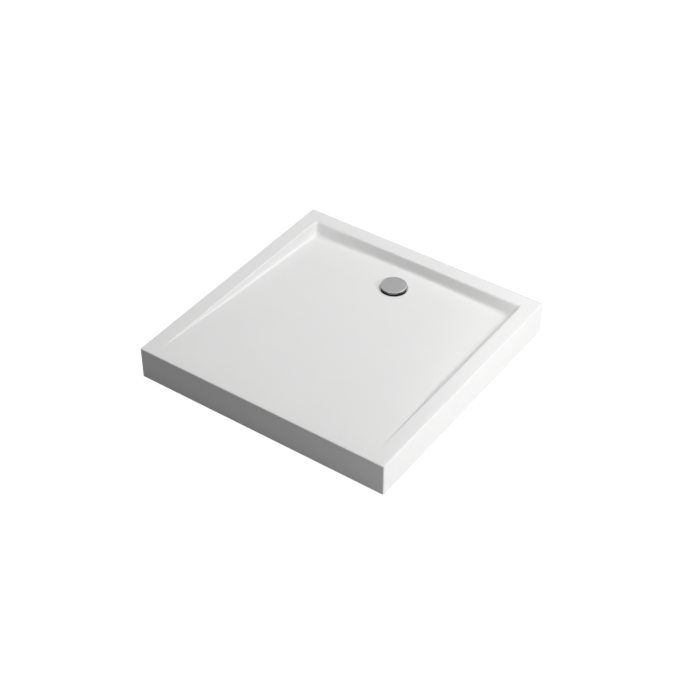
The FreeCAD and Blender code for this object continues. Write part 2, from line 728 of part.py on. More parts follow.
def lock_nuts(places):
    """One hexagon nut on each rod, tightened up against the bracket's own nut."""
    nuts = []
    for x, y in places:
        prism = doc.addObject("Part::Prism", "lock_nut_prism")
        prism.Polygon = 6
        bind(prism, "Circumradius", "nut_across_flats / sqrt(3)")
        bore = doc.addObject("Part::Cylinder", "lock_nut_bore")
        bind(bore, "Radius", "rod_bore")
        for solid in (prism, bore):
            bind(solid, "Height", "lock_nut_height")
            bind(solid, "Placement.Base.x", x)
            bind(solid, "Placement.Base.y", y)
            bind(solid, "Placement.Base.z", "lock_nut_bottom")
        nut = doc.addObject("Part::Cut", "lock_nut_one")
        nut.Base = prism
        nut.Tool = bore
        nuts.append(nut)
    return grouped("lock_nuts", nuts)


def leg_rod(label, x, y):
    """Threaded rod: a pivot in the foot, a hexagon to turn it by, and the thread above."""
    body = new_body(label, x, y)
    turned(
        body,
        [("0", "pivot_bottom"), ("pivot_radius", "pivot_bottom"), ("pivot_radius", "foot_top"),
         ("rod_radius", "foot_top"), ("rod_radius", "rod_top"), ("0", "rod_top")],
    )
    hexagon(body, "collar_across_flats", "foot_top", "collar_height")
    return body


def foot_pad(label, x, y):
    """Moulded foot with a blind socket, in which the rod's pivot turns."""
    body = new_body(label, x, y)
    shoulder = "sole_thickness + foot_plate"
    turned(
        body,
        [("0", "sole_thickness"), ("foot_radius", "sole_thickness"), ("foot_radius", shoulder),
         ("foot_boss_radius", shoulder), ("foot_boss_radius", "foot_top"),
         ("pivot_bore", "foot_top"), ("pivot_bore", "pivot_bore_bottom"),
         ("0", "pivot_bore_bottom")],
    )
    return body


def foot_sole(label, x, y):
    """Rubber disc under the foot."""
    sole = doc.addObject("Part::Cylinder", label)
    sole.Label = label
    bind(sole, "Radius", "foot_radius")
    bind(sole, "Height", "sole_thickness")
    bind(sole, "Placement.Base.x", x)
    bind(sole, "Placement.Base.y", y)
    return sole


def waste_piece(label, corners):
    """A piece turned about the waste's upright axis."""
    body = new_body(label, "0", "waste_y")
    turned(body, corners)
    return body


def flat_ring(label, inner, outer, low, high):
    """A flat ring about the waste's axis."""
    return waste_piece(label, [(inner, low), (outer, low), (outer, high), (inner, high)])


def polar(body, cut, axis_sketch, count):
    """Repeat a feature about the body's axis."""
    pattern = body.newObject("PartDesign::PolarPattern", body.Name + "_pattern")
    pattern.Originals = [cut]
    pattern.Axis = (axis_sketch, ["N_Axis"])
    pattern.Angle = 360
    bind(pattern, "Occurrences", count)
    body.Tip = pattern
    doc.recompute()
    return pattern


def flange_ring():
    """Clamp ring with a threaded neck that pulls the trap up against the tray."""
    return waste_piece(
        "flange_ring",
        [("flange_bore", "sleeve_end"), ("flange_neck_radius", "sleeve_end"),
         ("flange_neck_radius", "flange_underside"), ("flange_radius", "flange_underside"),
         ("flange_radius", "flange_top"), ("rim_seat_radius", "flange_top"),
         ("rim_seat_radius", "rim_seat"), ("flange_bore", "rim_seat")],
    )


def trap_body():
    """Low trap: a bowl under the waste, a weir, and an outlet chamber with a threaded spout."""
    body = new_body("trap_body", "0", "waste_y")
    chamber = new_sketch(body, "XY_Plane", "trap_clearance")
    rectangle(chamber, "-1 * chamber_half", "0", "chamber_half", "chamber_reach")
    pad(body, chamber, "chamber_roof - trap_clearance")
    bowl = new_sketch(body, "XY_Plane", "trap_clearance")
    circle(bowl, "trap_bowl_radius")
    pad(body, bowl, "collar_top - trap_clearance")
    spout = new_sketch(body, "XZ_Plane", "-1 * chamber_reach")
    circle(spout, "spout_radius", "0", "outlet_axis")
    pad(body, spout, "spout_length", reverse=True)
    turned_cut(
        body,
        [("0", "bowl_bottom"), ("bowl_bore", "bowl_bottom"), ("bowl_bore", "bowl_ceiling"),
         ("sleeve_radius", "bowl_ceiling"), ("sleeve_radius", "sleeve_end"),
         ("sleeve_bore", "sleeve_end"), ("sleeve_bore", "collar_top"), ("0", "collar_top")],
    )
    inside = new_sketch(body, "XY_Plane", "chamber_roof - trap_wall")
    outline(
        inside,
        [("-1 * chamber_inner", "chamber_meets_bowl"), ("-1 * chamber_inner", "chamber_reach - trap_wall"),
         ("chamber_inner", "chamber_reach - trap_wall"), ("chamber_inner", "chamber_meets_bowl")],
        bulge_at=3, bulge=("0", "trap_bowl_radius"),
    )
    pocket(body, inside, "chamber_roof - trap_wall - bowl_bottom")
    window = new_sketch(body, "XY_Plane", "weir_top")
    rectangle(
        window, "-1 * weir_width / 2", "sleeve_radius + lift_gap", "weir_width / 2",
        "trap_bowl_radius + trap_wall",
    )
    pocket(body, window, "weir_window", reverse=True)
    bore = new_sketch(body, "XZ_Plane", "-1 * ( chamber_reach + spout_length / 2 )")
    circle(bore, "spout_bore", "0", "outlet_axis")
    pocket(body, bore, "spout_length + 2 * trap_wall", both_ways=True)
    return body


def outlet_piece(label, corners):
    """A piece turned about the outlet's axis; lengths run to the back from the waste's axis."""
    body = new_body(label, "0", "waste_y", "outlet_axis")
    turned(body, corners)
    body.Placement.Rotation = FreeCAD.Rotation(FreeCAD.Vector(1, 0, 0), -90)
    return body


def outlet_seal():
    """Rubber ring that the nut presses between the spout and the pipe end."""
    outer = "spout_radius - lift_gap"
    return outlet_piece(
        "outlet_seal",
        [("spout_bore", "spout_end"), (outer, "spout_end"), (outer, "nut_wall_start"),
         ("spout_bore", "nut_wall_start")],
    )


def outlet_nut():
    """Moulded union nut over the spout."""
    thread = "spout_radius + thread_gap"
    mouth = "spigot_inner_radius + lift_gap"
    return outlet_piece(
        "outlet_nut",
        [(thread, "nut_start"), ("outlet_nut_radius", "nut_start"), ("outlet_nut_radius", "nut_end"),
         (mouth, "nut_end"), (mouth, "nut_wall_start"), (thread, "nut_wall_start")],
    )


def outlet_spigot():
    """Pipe end: the inner stretch is held by the seal, the outer one takes the drain pipe."""
    return outlet_piece(
        "outlet_spigot",
        [("spigot_bore", "spigot_start"), ("spigot_inner_radius", "spigot_start"),
         ("spigot_inner_radius", "spigot_shoulder"), ("spigot_radius", "spigot_shoulder"),
         ("spigot_radius", "spigot_end"), ("spigot_bore", "spigot_end")],
    )


def dip_tube():
    """Lift-out tube that dips into the bowl, with a groove for its ring and a strainer seat."""
    body = waste_piece(
        "dip_tube",
        [("dip_bore", "dip_bottom"), ("dip_radius", "dip_bottom"), ("dip_radius", "dip_collar_bottom"),
         ("dip_collar_radius", "dip_collar_bottom"), ("dip_collar_radius", "rim_seat"),
         ("dip_rim_radius", "rim_seat"), ("dip_rim_radius", "dip_rim_top"),
         ("strainer_seat_radius", "dip_rim_top"), ("strainer_seat_radius", "strainer_ledge"),
         ("dip_bore", "strainer_ledge")],
    )
    low, high = "ring_level - ring_groove_half", "ring_level + ring_groove_half"
    turned_cut(
        body,
        [("ring_groove", low), ("flange_radius", low), ("flange_radius", high), ("ring_groove", high)],
    )
    return body


def dip_tube_ring():
    """O-ring in the dip tube's groove."""
    ring = doc.addObject("Part::Torus", "dip_tube_ring")
    ring.Label = "dip_tube_ring"
    bind(ring, "Radius1", "ring_radius")
    bind(ring, "Radius2", "ring_section")
    bind(ring, "Placement.Base.y", "waste_y")
    bind(ring, "Placement.Base.z", "ring_level")
    return ring


def hair_strainer():
    """Lift-out plate with two rings of holes and a knob to pull it by."""
    body = new_body("hair_strainer", "0", "waste_y")
    plate = new_sketch(body, "XY_Plane", "strainer_ledge")
    circle(plate, "strainer_radius")
    pad(body, plate, "strainer_thickness")
    knob = new_sketch(body, "XY_Plane", "strainer_top")
    circle(knob, "knob_radius")
    pad(body, knob, "knob_height")
    for pitch, count in (("strainer_inner_pitch", "strainer_inner_count"),
                         ("strainer_outer_pitch", "strainer_outer_count")):
        hole = new_sketch(body, "XY_Plane", "strainer_ledge")
        circle(hole, "strainer_hole_radius", pitch)
        cut = pocket(body, hole, "strainer_thickness", reverse=True)
        polar(body, cut, hole, count)
    return body


def waste_cap():
    """Cover: a turned cup, upside down, on legs that stand on the flange round the dip tube."""
    body = waste_piece(
        "waste_cap",
        [("0", "cap_under"), ("cap_radius - cap_wall", "cap_under"),
         ("cap_radius - cap_wall", "cap_edge_bottom"), ("cap_radius", "cap_edge_bottom"),
         ("cap_radius", "cap_top"), ("0", "cap_top")],
    )
    round_edges(body, "cap_edge_radius", lambda edge: all_at(edge, size("cap_top")))
    leg = new_sketch(body, "XY_Plane", "flange_top")
    rectangle(
        leg, "cap_leg_inner", "-1 * cap_leg_width / 2", "cap_leg_inner + cap_leg_wall", "cap_leg_width / 2",
    )
    made = pad(body, leg, "cap_under - flange_top")
    polar(body, made, leg, "cap_leg_count")
    return body


fill_sheet()

SIDE_SCREWS = ["-1 * ( bearer_reach - bearer_screw_inset )", "bearer_screw_offset",
               "bearer_reach - bearer_screw_inset"]
MIDDLE_SCREWS = SIDE_SCREWS[:2] + ["middle_bearer_back - bearer_screw_inset"]
BEARER_SCREWS = [("-1 * leg_x", SIDE_SCREWS), ("leg_x", SIDE_SCREWS), ("0", MIDDLE_SCREWS)]
LEG_PLACES = [("-1 * leg_x", "-1 * leg_y"), ("leg_x", "-1 * leg_y"), ("leg_x", "leg_y"),
              ("-1 * leg_x", "leg_y"), ("0", "0")]

bracket_screws = [
    (x, f"{y} {way} bracket_screw_pitch", "bracket_underside", "bearer_underside + bracket_screw_bite")
    for x, y in LEG_PLACES for way in "+-"
]
board_screws = [
    (x, y, "bearer_underside", screw_reach(y)) for x, screws in BEARER_SCREWS for y in screws
]

nodes = [
    tray_shell(),
    grp_backing(),
    baseboard(),
    bearer("bearer_left", "-1 * leg_x", "bearer_reach", ["-1 * leg_y", "leg_y"], SIDE_SCREWS),
    bearer("bearer_right", "leg_x", "bearer_reach", ["-1 * leg_y", "leg_y"], SIDE_SCREWS),
    bearer("bearer_middle", "0", "middle_bearer_back", ["0"], MIDDLE_SCREWS),
    screw_group("bearer_screws", board_screws),
    screw_group("bracket_screws", bracket_screws),
    lock_nuts(LEG_PLACES),
    flat_ring("flange_gasket", "seal_inner", "seal_outer", "seat_level", "flange_underside"),
    flat_ring("lower_seal", "seal_inner", "seal_outer", "collar_top", "seat_underside"),
    flange_ring(),
    trap_body(),
    outlet_seal(),
    outlet_nut(),
    outlet_spigot(),
    dip_tube(),
    dip_tube_ring(),
    hair_strainer(),
    waste_cap(),
]
for place, (x, y) in enumerate(LEG_PLACES, start=1):
    nodes.append(leg_bracket(f"leg_bracket_{place}", x, y))
    nodes.append(leg_rod(f"leg_rod_{place}", x, y))
    nodes.append(foot_pad(f"foot_pad_{place}", x, y))
    nodes.append(foot_sole(f"foot_sole_{place}", x, y))

doc.recompute()
for thing in doc.Objects:
    if "Invalid" in thing.State or "Error" in thing.State:
        raise RuntimeError(f"{thing.Name} failed: {thing.State}")

os.makedirs("parts", exist_ok=True)
for node in nodes:
    if node.Shape.isNull() or not node.Shape.isValid() or not node.Shape.Solids:
        raise RuntimeError(f"{node.Label} has no valid solid")
    node.Shape.exportStep(f"parts/{node.Label}.step")
    print(f"{node.Label}: {len(node.Shape.Solids)} solids, {node.Shape.Volume / 1000:.1f} cm3")
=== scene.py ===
"""A square shower tray, in the order in which it is put together.

Metres. The origin is the middle of the footprint on the floor, X runs to the right along the
front edge, Y runs to the back, where the waste is, and Z is up.
"""

import bpy
import math
import numpy as np
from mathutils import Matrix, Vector


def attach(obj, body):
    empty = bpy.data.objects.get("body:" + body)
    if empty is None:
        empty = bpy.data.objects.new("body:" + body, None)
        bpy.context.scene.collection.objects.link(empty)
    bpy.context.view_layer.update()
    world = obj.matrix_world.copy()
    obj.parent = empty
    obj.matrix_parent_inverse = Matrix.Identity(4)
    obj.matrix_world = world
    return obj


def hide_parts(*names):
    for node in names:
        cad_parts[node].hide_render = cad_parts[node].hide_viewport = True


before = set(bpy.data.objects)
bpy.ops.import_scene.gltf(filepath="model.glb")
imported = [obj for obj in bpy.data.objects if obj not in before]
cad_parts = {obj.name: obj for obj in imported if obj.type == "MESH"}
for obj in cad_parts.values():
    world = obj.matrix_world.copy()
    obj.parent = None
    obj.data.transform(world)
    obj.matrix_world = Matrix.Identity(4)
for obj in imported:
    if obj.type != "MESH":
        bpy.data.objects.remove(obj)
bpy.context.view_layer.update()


# Tray shell. One sheet of white cast acrylic, heated and drawn over a mould: a flat rim, a ramp
# that falls to the back between coved walls, a recess for the waste, and a skirt down to the
# floor, with a cut-out at the back for the pipe. The back of the sheet is 4 mm behind its face.

HALF = 0.450  # outside, middle to edge
TOP = 0.110
PLAN_CORNER = 0.005  # radius of the corners, seen from above
TOP_EDGE = 0.003  # radius between skirt and rim
SIDE = 0.398  # lip of the basin, middle to left and right
FRONT = -0.398  # the ramp starts
BACK = 0.396  # lip over the back wall
SLOPE = 0.038735  # fall of the ramp for each metre
SIDE_LEAN = 0.57  # run of a side wall for each metre of depth
DROP = 0.030  # depth over which the back wall's run is given
BACK_RUN, BACK_RUN_END = 0.0195, 0.040  # in its middle and at its ends
SIDE_COVE, BACK_COVE, CORNER_COVE = 0.017, 0.009, 0.020  # widths of the rounded creases
COVE_START, COVE_GROWTH = 0.0003, 1.4  # width of a side cove at no depth, and for each metre of it
CORNER_POWER = 24  # the higher, the nearer to its ends the back cove widens
LIP = 0.0052  # width of the rounded edge between rim and walls
LIP_START, LIP_GROWTH = 0.0006, 0.5
BASIN_CORNER = 0.012
WASTE_Y = 0.272
RECESS, HOLE = 0.046, 0.030  # radii round the waste
RECESS_EDGE = 0.0028  # width of the recess's rounded edge
NEAR_EDGE = 0.003  # so far on either side of it the rows are 0.4 mm apart
SEAT = 0.07955  # height of the recess's floor
SHEET = 0.004
PIPE_AXIS = 0.031
CUT_OUT = 0.030  # radius of the arch over the pipe
HEM = 0.036  # length of foot on either side of the cut-out over which columns are spread
HEM_AT_TOP = 0.010  # length of the top edge that the same columns share


class Value:
    """A number in a material. Arithmetic on it adds Math nodes to that material."""

    def __init__(self, network, socket):
        self.network, self.socket = network, socket

    def math(self, operation, first, second):
        """The result of a Math node with two inputs."""
        sockets = {0: first, 1: second}
        return self.network.node("ShaderNodeMath", {"operation": operation}, sockets)

    def __add__(self, other):
        return self.math("ADD", self, other)

    def __sub__(self, other):
        return self.math("SUBTRACT", self, other)

    def __mul__(self, other):
        return self.math("MULTIPLY", self, other)

    def __rsub__(self, other):
        return self.math("SUBTRACT", other, self)

    __radd__, __rmul__ = __add__, __mul__

    def beside(self, output):
        """Another output of the same node."""
        return Value(self.network, self.socket.node.outputs[output])


class Network:
    """The nodes of a material or of the surround."""

    def __init__(self, tree):
        self.tree = tree

    def connect(self, socket, value):
        """Link a socket to a Value, or set its plain number, colour or vector."""
        if isinstance(value, Value):
            self.tree.links.new(value.socket, socket)
        else:
            socket.default_value = value

    def node(self, kind, settings=None, sockets=None, output=0):
        """Add a node: first its settings, then the values or links of its sockets."""
        added = self.tree.nodes.new(kind)
        for name, setting in (settings or {}).items():
            setattr(added, name, setting)
        for name, value in (sockets or {}).items():
            self.connect(added.inputs[name], value)
        return Value(self, added.outputs[output])

    def seen(self):
        """1 for rays from the camera, off gloss and through glass, 0 for the light's own."""
        path = self.node("ShaderNodeLightPath", output="Is Camera Ray")
        every = path + path.beside("Is Glossy Ray") + path.beside("Is Transmission Ray")
        return path.math("MINIMUM", every, 1.0)


class Finish(Network):
    """A material under construction: its nodes, its shader and the point that is shaded."""

    def __init__(self, name):
        self.material = bpy.data.materials.new(name)
        self.material.use_nodes = True
        super().__init__(self.material.node_tree)
        self.shader = self.tree.nodes["Principled BSDF"]
        self.point = self.node("ShaderNodeTexCoord", output="Object")

    def feed(self, shader_sockets):
        """Set or link sockets of the shader."""
        for name, value in shader_sockets.items():
            self.connect(self.shader.inputs[name], value)

    def stretched(self, factors):
        """The shaded point with each of its three coordinates multiplied."""
        sockets = {0: self.point, 1: factors}
        return self.node("ShaderNodeVectorMath", {"operation": "MULTIPLY"}, sockets)

    def noise(self, scale, detail, point=None):
        """Cloudy noise about one half, with that many lumps in a metre, at the shaded point."""
        sockets = {"Vector": point or self.point, "Scale": scale, "Detail": detail}
        return self.node("ShaderNodeTexNoise", None, sockets)

    def between(self, value, low, high):
        """A mask that rises smoothly from 0 to 1 while the value goes from low to high."""
        sockets = {"Value": value, "From Min": low, "From Max": high}
        return self.node("ShaderNodeMapRange", {"interpolation_type": "SMOOTHSTEP"}, sockets)

    def mixed(self, mask, first, second):
        """The first colour where the mask is 0, the second where it is 1."""
        sockets = {0: mask, 6: first, 7: second}
        return self.node("ShaderNodeMix", {"data_type": "RGBA"}, sockets, 2)

    def relief(self, height, depth):
        """Feed the shader a bump: a height from 0 to 1, and how deep that is in metres."""
        sockets = {"Height": height, "Distance": depth}
        self.feed({"Normal": self.node("ShaderNodeBump", None, sockets)})

    def onto(self, *node_names):
        """Put the finish on CAD nodes, whose own meshes stay as they are."""
        for name in node_names:
            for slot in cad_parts[name].material_slots:
                slot.material = self.material


def higher(first, second, width):
    """The higher of two heights. A parabola of that width fills the crease between them."""
    near = np.maximum(width - np.abs(first - second), 0) / width
    return np.maximum(first, second) + near**2 * width / 4


def face_height(x, y):
    """Height of the shell's face: the lower of the rim and the basin.

    The basin is the highest of the ramp, the side walls and the back wall. Each wall climbs to
    the rim over a run of its lean times the depth, and the back wall leans more at its ends, so
    its foot is bowed. All creases are rounded, and by less where the basin is shallow.
    """
    depth = SLOPE * np.maximum(y - FRONT, 0)
    ramp = TOP - SLOPE * (y - FRONT)
    side = TOP - (SIDE - np.abs(x)) / SIDE_LEAN
    across = np.minimum(np.abs(x) / SIDE, 1)
    back = TOP - (BACK - y) * DROP / (BACK_RUN + (BACK_RUN_END - BACK_RUN) * across**2)
    side_cove = np.minimum(SIDE_COVE, COVE_START + COVE_GROWTH * depth)
    back_cove = BACK_COVE + (CORNER_COVE - BACK_COVE) * across**CORNER_POWER
    basin = higher(higher(ramp, side, side_cove), back, back_cove)
    return -higher(-basin, -TOP, np.minimum(LIP, LIP_START + LIP_GROWTH * depth))


def grid_faces(rows, columns):
    """Quads between the rows of a grid whose last column joins its first."""
    here = np.arange(rows * columns).reshape(rows, columns)
    beside = np.roll(here, -1, axis=1)
    return np.stack([here[:-1], beside[:-1], beside[1:], here[1:]], -1).reshape(-1, 4)


def surface(name, x, y, z, faces):
    """Make an object of a grid of points and its faces."""
    mesh = bpy.data.meshes.new(name)
    mesh.from_pydata(np.stack([x.ravel(), y.ravel(), z.ravel()], -1).tolist(), [], faces.tolist())
    piece = bpy.data.objects.new(name, mesh)
    bpy.context.scene.collection.objects.link(piece)
    return piece


def settle(piece, finish):
    """Work the modifiers into the mesh, shade it smooth up to creases of 35 degrees, finish it."""
    graph = bpy.context.evaluated_depsgraph_get()
    piece.data = bpy.data.meshes.new_from_object(piece.evaluated_get(graph))
    piece.modifiers.clear()
    piece.data.shade_smooth()
    piece.data.set_sharp_from_angle(angle=math.radians(35))
    piece.data.materials.clear()
    piece.data.materials.append(finish.material)


# The back's columns, from its middle to the right. Their feet follow the cut-out's outline: the
# arch, its straight side and the hem beside it, given by the length along it. At the top they are
# spread further than at the foot, so that no face folds over. Then they are mirrored to the left.
arch = CUT_OUT * math.pi / 2
hem_starts = arch + PIPE_AXIS
spread_to = CUT_OUT + HEM
outline = np.concatenate([
    np.linspace(0, arch, 10), arch + np.linspace(0, PIPE_AXIS, 6)[1:],
    hem_starts + np.linspace(0, HEM, 5)[1:],
])
plain = np.linspace(spread_to, HALF - PLAN_CORNER, 40)[1:-1]
spread = np.interp(
    outline, [0, hem_starts, hem_starts + HEM], [0, spread_to - HEM_AT_TOP, spread_to]
)
on_arch, on_side = outline <= arch, outline <= hem_starts
foot_x = np.select(
    [on_arch, on_side], [CUT_OUT * np.sin(outline / CUT_OUT), CUT_OUT],
    outline - hem_starts + CUT_OUT,
)
foot_z = np.select(
    [on_arch, on_side],
    [PIPE_AXIS + CUT_OUT * np.cos(outline / CUT_OUT), hem_starts - outline], 0.0,
)
back_x = np.concatenate([spread, plain])
foot_x = np.concatenate([foot_x, plain])
foot_z = np.concatenate([foot_z, np.zeros_like(plain)])
mirror = np.concatenate([np.ones(len(back_x)), -np.ones(len(back_x) - 1)])
there_and_back = np.concatenate([np.arange(len(back_x))[::-1], np.arange(1, len(back_x))])
back_x, foot_x = (mirror * values[there_and_back] for values in (back_x, foot_x))
foot_z = foot_z[there_and_back]

# All columns, anticlockwise from the front left corner: the front, right, back and left side,
# each with the corner that follows it. A column has its share of the half width and of the half
# depth, and the direction in which it faces.
even = np.linspace(-1, 1, 81)[1:-1]
turn = np.radians(np.linspace(0, 90, 9))
one, none = np.ones_like(even), np.zeros_like(even)
back_share = back_x / (HALF - PLAN_CORNER)
back_one, back_none = np.ones_like(back_share), np.zeros_like(back_share)
sides = [(even, -one, none, -one), (one, even, one, none),
         (back_share, back_one, back_none, back_one), (-one, -even, -one, none)]
corners = [(1, -1, -90), (1, 1, 0), (-1, 1, 90), (-1, -1, 180)]
runs = []
for side, (corner_x, corner_y, start) in zip(sides, corners):
    angle = turn + math.radians(start)
    corner = corner_x + 0 * angle, corner_y + 0 * angle, np.cos(angle), np.sin(angle)
    runs += [side, corner]
share_x, share_y, out_x, out_y = (np.concatenate(values) for values in zip(*runs))


def rings(stations):
    """X and Y of every column of the shell, for rectangles with round corners.

    A station is the rectangle's half width, its front and its back, and the radius of its
    corners. A column stands at a share of each straight side, or at an angle of a corner.
    """
    side, front, back, corner = np.array(stations).T[:, :, None]
    x = share_x * (side - corner) + out_x * corner
    y = (front + back) / 2 + share_y * ((back - front) / 2 - corner) + out_y * corner
    return x, y


# Rows, from the skirt's foot up, over the edge, across the rim and down into the basin.
outer_x, outer_y = rings([(HALF, -HALF, HALF, PLAN_CORNER)])
hem_x, hem_z = outer_x[0].copy(), np.zeros_like(outer_x[0])
behind = np.flatnonzero((out_y == 1) & (out_x == 0) & (np.abs(share_x) < 1))
hem_x[behind], hem_z[behind] = foot_x, foot_z

up = np.linspace(0, 1, 8)[:, None]
skirt = (
    hem_x + (outer_x - hem_x) * up, outer_y + 0 * up, hem_z + (TOP - TOP_EDGE - hem_z) * up,
)
round_over = np.radians(np.linspace(0, 90, 7))[1:]
inset = TOP_EDGE * (1 - np.cos(round_over))
edge_x, edge_y = rings(
    [(HALF - step, step - HALF, HALF - step, PLAN_CORNER - step) for step in inset]
)
edge = (edge_x, edge_y, TOP - TOP_EDGE + TOP_EDGE * np.sin(round_over)[:, None] + 0 * edge_x)

# Rows lie 1 mm apart where the lip and the side coves are, and wider where the wall is plain.
lip_insets = np.concatenate([
    np.arange(-0.006, 0.014, 0.001), np.arange(0.014, 0.032, 0.0015),
    np.arange(0.032, 0.057, 0.0024),
])
lip = [(SIDE - step, FRONT + step, BACK - step, BASIN_CORNER) for step in lip_insets]
rim_start = np.array((HALF - TOP_EDGE, TOP_EDGE - HALF, HALF - TOP_EDGE, PLAN_CORNER - TOP_EDGE))
rim = rim_start + (np.array(lip[0]) - rim_start) * np.linspace(0, 1, 7)[1:-1, None]
basin_x, basin_y = rings(np.concatenate([rim, lip]))

# From there the rows close in on a circle round the waste, and step down into its recess over a
# smooth edge.
towards = np.arctan2(basin_y[-1] - WASTE_Y, basin_x[-1])
circle = RECESS + 2 * NEAR_EDGE
inward = np.linspace(0, 1, 18)[1:, None]
ramp_x = basin_x[-1] + (circle * np.cos(towards) - basin_x[-1]) * inward
ramp_y = basin_y[-1] + (WASTE_Y + circle * np.sin(towards) - basin_y[-1]) * inward
radius = np.concatenate([
    np.arange(RECESS + NEAR_EDGE, RECESS - NEAR_EDGE, -0.0004),
    np.linspace(RECESS - NEAR_EDGE, HOLE, 5),
])[:, None]
sink_x, sink_y = radius * np.cos(towards), WASTE_Y + radius * np.sin(towards)
sunk = np.clip((RECESS + RECESS_EDGE / 2 - radius) / RECESS_EDGE, 0, 1)
sunk = sunk**2 * (3 - 2 * sunk)
sink = (sink_x, sink_y, face_height(sink_x, sink_y) * (1 - sunk) + SEAT * sunk)

x, y, z = (np.concatenate(rows) for rows in zip(
    skirt, edge, (basin_x, basin_y, face_height(basin_x, basin_y)),
    (ramp_x, ramp_y, face_height(ramp_x, ramp_y)), sink,
))
shell = surface("tray_shell_face", x, y, z, grid_faces(*x.shape))
sheet = shell.modifiers.new("sheet", "SOLIDIFY")
sheet.thickness = SHEET
sheet.offset = -1
sheet.use_even_offset = True

acrylic = Finish("white_acrylic")
haze = acrylic.noise(9, 4)
ripple = acrylic.noise(160, 2)
acrylic.feed({
    "Base Color": acrylic.mixed(haze, (0.86, 0.86, 0.855, 1), (0.885, 0.885, 0.88, 1)),
    "Roughness": 0.225 + haze * 0.05,
    "IOR": 1.49,
})
acrylic.relief(ripple * 0.6 + haze * 0.4, 0.00006)
settle(shell, acrylic)
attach(shell, "root")
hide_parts("tray_shell")


# Sprayed resin on the back of the sheet, with short glass strands in it. It is rough, a little
# yellow, and stiffens the acrylic.

resin = Finish("sprayed_resin")
strands = resin.between(resin.noise(260, 4, resin.stretched((1, 0.15, 1))), 0.5, 0.7)
crossed = resin.between(resin.noise(260, 4, resin.stretched((0.15, 1, 1))), 0.5, 0.7)
lumps = resin.noise(45, 4)
resin.feed({
    "Base Color": resin.mixed(
        strands * 0.5 + crossed * 0.5, (0.62, 0.57, 0.40, 1), (0.80, 0.78, 0.66, 1)),
    "Roughness": 0.42 + lumps * 0.3,
})
resin.relief(lumps * 0.6 + strands * 0.2 + crossed * 0.2, 0.0012)
resin.onto("grp_backing")


# Baseboard. 12 mm chipboard laid into the wet resin under the ramp, cut out round the trap.

chipboard = Finish("chipboard")
chips = chipboard.node(
    "ShaderNodeTexVoronoi", None,
    {"Vector": chipboard.stretched((1, 0.45, 1)), "Scale": 240.0}, "Color",
)
chip_shade = chipboard.node("ShaderNodeSeparateColor", None, {0: chips})
dust = chipboard.noise(700, 3)
chipboard.feed({
    "Base Color": chipboard.mixed(
        chip_shade * 0.7 + dust * 0.3, (0.36, 0.23, 0.12, 1), (0.70, 0.52, 0.31, 1)),
    "Roughness": 0.8,
})
chipboard.relief(chip_shade * 0.6 + dust * 0.4, 0.0003)
chipboard.onto("baseboard")


# Bearers. Three lengths of planed softwood, tapered so that the legs' plates stand level under
# the sloping board. Their grain runs front to back.

timber = Finish("timber")
grain = timber.noise(70, 5, timber.stretched((1, 0.05, 1.6)))
figure = timber.node(
    "ShaderNodeTexWave", {"wave_type": "BANDS", "bands_direction": "X"},
    {"Vector": timber.stretched((1, 0.08, 1.3)), "Scale": 28.0, "Distortion": 5.0, "Detail": 2.0,
     "Detail Scale": 1.4},
)
timber.feed({
    "Base Color": timber.mixed(
        figure * 0.7 + grain * 0.3, (0.74, 0.55, 0.33, 1), (0.56, 0.35, 0.17, 1)),
    "Roughness": 0.55 + grain * 0.2,
})
timber.relief(figure * 0.5 + grain * 0.5, 0.0002)
timber.onto("bearer_left", "bearer_right", "bearer_middle")


# Zinc plated steel. Each leg has a plate with a welded nut, screwed on under a bearer, and a lock
# nut. Countersunk screws hold the bearers to the board.

zinc = Finish("zinc_steel")
spangle = zinc.noise(220, 3)
smear = zinc.noise(35, 4)
zinc.feed({
    "Base Color": zinc.mixed(
        spangle * 0.5 + smear * 0.5, (0.50, 0.50, 0.49, 1), (0.72, 0.72, 0.70, 1)),
    "Roughness": 0.28 + smear * 0.25,
    "Metallic": 1.0,
})
zinc.relief(spangle, 0.00005)
zinc.onto("bearer_screws", "bracket_screws", "lock_nuts",
          *(f"leg_bracket_{i}" for i in range(1, 6)))


# Rods. M12 steel studs with a rolled thread, a hexagon to turn them by, and below it a plain
# pivot that stays in the foot while the rod turns.

LEGS = [(-0.25, -0.26), (0.25, -0.26), (0.25, 0.26), (-0.25, 0.26), (0, 0)]
ROD = 0.0059  # outer radius of the thread
ROD_END, THREAD_END = 0.0629, 0.0220  # heights of its two ends
PITCH = 0.00175
THREAD_DEPTH = 0.00095
RUN_OUT = 0.0003  # the thread's first ring is that far over the hexagon
FLATS = 0.0085  # middle of the hexagon to its flats
PIVOT, PIVOT_END, FOOT_TOP = 0.004, 0.0065, 0.016  # radius and foot, and where the hexagon starts
ROD_CHAMFER, PIVOT_CHAMFER, HEXAGON_CHAMFER = 0.0011, 0.0006, 0.0007


def thread_radius(angle, height):
    """Radius of a helical thread: it falls by a blunt V in each pitch, and one pitch a turn."""
    phase = np.mod(height / PITCH - angle / (2 * math.pi), 1)
    return ROD - THREAD_DEPTH * np.clip(1.3 - 3.2 * np.abs(phase - 0.5), 0, 1)


def hexagon_radius(angle):
    """Radius of the hexagon: the distance of its flats over cos(angle to the nearest one)."""
    off = np.mod(angle + math.pi / 6, math.pi / 3) - math.pi / 6
    return FLATS / np.cos(off)


